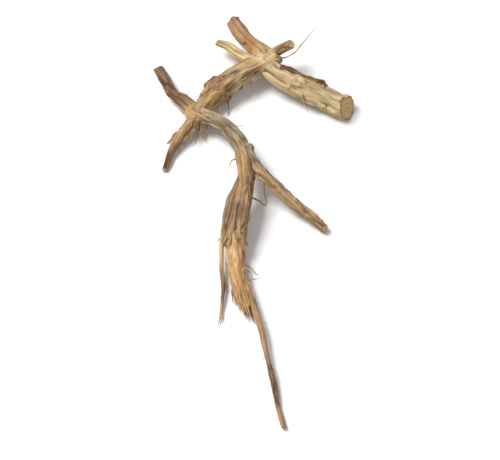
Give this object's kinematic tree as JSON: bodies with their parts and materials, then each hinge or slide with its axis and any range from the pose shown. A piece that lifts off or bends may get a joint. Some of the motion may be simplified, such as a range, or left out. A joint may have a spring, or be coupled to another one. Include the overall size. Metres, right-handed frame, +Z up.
{
  "type": "achyranthes root",
  "caption": "Dried, cut achyranthes root with a knobby crown, stout limbs, a long arched main root, side roots, a frayed end and a thin tail, lying on a surface.",
  "frame": {"origin": "on the small flat spot that the root rests on, under the belly of its thickest limb", "axes": "+Z up from the surface it lies on; +Y towards the crown end, -Y towards the frayed end and the tail; +X to the right with the crown away from the viewer"},
  "size_m": [0.0583, 0.1309, 0.011],
  "materials": {
    "dried_root": "matte, wrinkled dry bark"
  },
  "bodies": {
    "root": {"achyranthes_root": "dried_root"}
  },
  "joints": []
}
